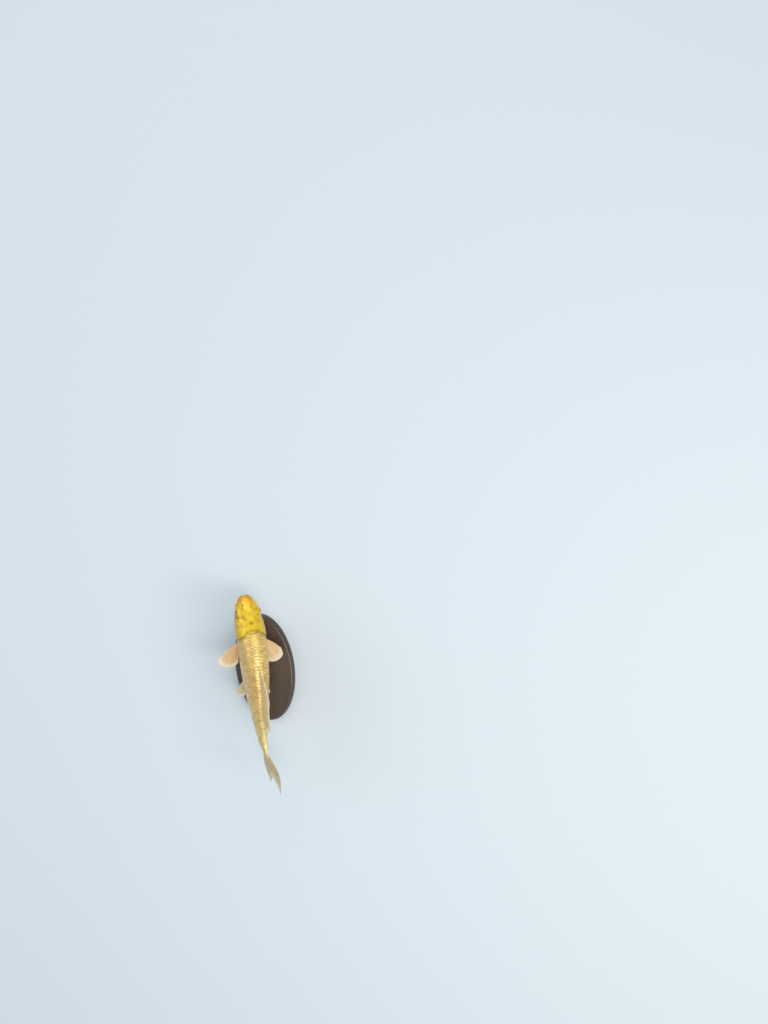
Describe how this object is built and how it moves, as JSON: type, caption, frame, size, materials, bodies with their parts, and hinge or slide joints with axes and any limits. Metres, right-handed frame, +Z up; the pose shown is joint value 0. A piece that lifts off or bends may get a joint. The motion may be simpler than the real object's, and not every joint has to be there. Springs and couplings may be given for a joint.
{
  "type": "koi carp model",
  "caption": "Life-size model of a young golden koi carp in a gentle swimming bend, held by two rods over a flat oval base.",
  "frame": {"origin": "centre of the stand base's underside", "axes": "+Z up, -Y towards the fish's snout, +Y towards its tail, +X towards its left flank"},
  "size_m": [0.0537, 0.1562, 0.0728],
  "materials": {
    "head_skin": "wet metallic lemon gold skin, smooth and scaleless",
    "body_scales": "wet metallic gold scales with a darker net between them",
    "fin_membrane": "thin cream fin skin over soft rays, gold at the root",
    "eye": "glossy eye, black pupil in a gold iris",
    "barbel_skin": "soft fleshy feeler",
    "stand_wood": "dark stained and satin lacquered hardwood",
    "stand_steel": "turned and brushed stainless steel"
  },
  "bodies": {
    "root": {"head": "head_skin", "jaw_lower": "head_skin", "gill_cover_left": "head_skin", "gill_cover_right": "head_skin", "eye_left": "eye", "eye_right": "eye", "barbel_front_left": "barbel_skin", "barbel_front_right": "barbel_skin", "barbel_rear_left": "barbel_skin", "barbel_rear_right": "barbel_skin", "trunk_front": "body_scales", "trunk_rear": "body_scales", "tail_stem": "body_scales", "fin_dorsal": "fin_membrane", "fin_anal": "fin_membrane", "fin_caudal": "fin_membrane", "fin_pectoral_left": "fin_membrane", "fin_pectoral_right": "fin_membrane", "fin_pelvic_left": "fin_membrane", "fin_pelvic_right": "fin_membrane", "stand_base": "stand_wood", "stand_rod_front": "stand_steel", "stand_rod_rear": "stand_steel"}
  },
  "joints": []
}
